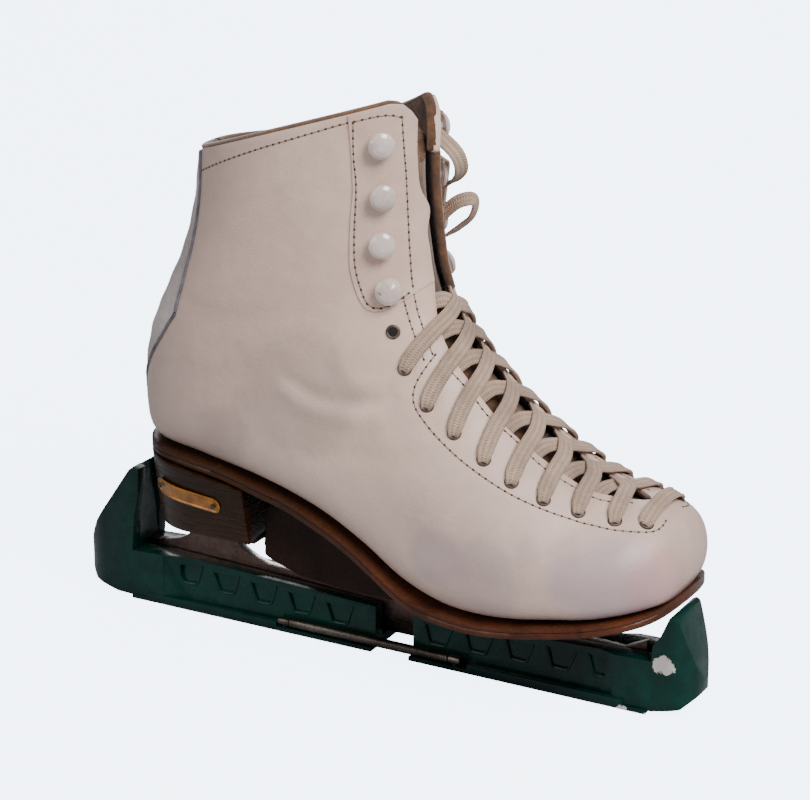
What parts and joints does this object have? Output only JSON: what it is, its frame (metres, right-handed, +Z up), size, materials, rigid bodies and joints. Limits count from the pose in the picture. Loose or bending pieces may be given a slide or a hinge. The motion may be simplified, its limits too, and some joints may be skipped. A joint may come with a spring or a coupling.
{
  "type": "figure skate",
  "caption": "White leather figure skate with lace hooks, stacked heel and steel blade, standing in a green two-piece sprung blade guard.",
  "frame": {"origin": "on the floor, under the middle of the guard that the skate stands in", "axes": "+X towards the toe, +Y towards the inner side of the right foot, +Z up"},
  "size_m": [0.293, 0.0938, 0.2409],
  "materials": {
    "white_leather": "smooth, lightly worn",
    "white_trim": "soft, smooth",
    "dark_piping": "matte cord",
    "brown_lining": "matte suede",
    "foam": "matte foam",
    "stiffener": "matte board",
    "tongue_leather": "matte",
    "tongue_felt": "matte felt",
    "eyelet_metal": "dull",
    "hook_enamel": "glossy white enamel",
    "lace_cotton": "woven",
    "aglet_plastic": "clear-coated",
    "footbed_cloth": "matte",
    "shank_steel": "dull",
    "sole_leather": "varnished edge",
    "web_leather": "dark varnish",
    "heel_leather": "varnished stack",
    "lift_rubber": "matte",
    "badge_metal": "satin",
    "pin_metal": "dark",
    "blade_steel": "satin",
    "plate_steel": "satin",
    "guard_plastic": "dark green translucent",
    "spring_steel": "dull"
  },
  "bodies": {
    "skate": {"upper_outer": "white_leather", "upper_inner": "white_leather", "back_strip": "white_trim", "piping": "dark_piping", "hook_patch_outer": "white_leather", "hook_patch_inner": "white_leather", "collar_binding": "brown_lining", "lining_outer": "brown_lining", "lining_inner": "brown_lining", "collar_padding": "foam", "toe_box": "stiffener", "heel_counter": "stiffener", "tongue_lower": "tongue_leather", "tongue_lining": "tongue_felt", "eyelets_outer": "eyelet_metal", "eyelets_inner": "eyelet_metal", "hooks_outer": "hook_enamel", "hooks_inner": "hook_enamel", "lace": "lace_cotton", "lace_end_front": "lace_cotton", "lace_end_rear": "lace_cotton", "aglets": "aglet_plastic", "footbed": "footbed_cloth", "insole_board": "stiffener", "shank": "shank_steel", "outsole": "sole_leather", "arch_web": "web_leather", "heel_stack": "heel_leather", "heel_top_lift": "lift_rubber", "badge": "badge_metal", "badge_pins": "pin_metal", "blade_runner": "blade_steel", "sole_plate": "plate_steel", "heel_plate": "plate_steel", "sole_plate_screws": "plate_steel", "heel_plate_screws": "plate_steel"},
    "tongue_flap": {"tongue_upper": "tongue_leather"},
    "guard_toe": {"guard_toe_shell": "guard_plastic", "spring_anchor_toe": "spring_steel", "guard_spring": "spring_steel"},
    "guard_heel": {"guard_heel_shell": "guard_plastic", "spring_anchor_heel": "spring_steel"}
  },
  "joints": [
    {"name": "guard_off", "type": "slide", "parent": "skate", "child": "guard_toe", "axis": [0, 0, -1], "range_m": [0, 0.07]},
    {"name": "guard_stretch", "type": "slide", "parent": "guard_toe", "child": "guard_heel", "axis": [-1, 0, 0], "range_m": [0, 0.02], "stiffness_N_per_m": 300, "springref_m": -0.01, "deforming": ["guard_spring"]},
    {"name": "tongue_fold", "type": "hinge", "parent": "skate", "child": "tongue_flap", "pos_m": [0.0265, 0, 0.151], "axis": [0, 1, 0], "range_deg": [-15, 0], "stiffness_Nm_per_rad": 0.5}
  ]
}
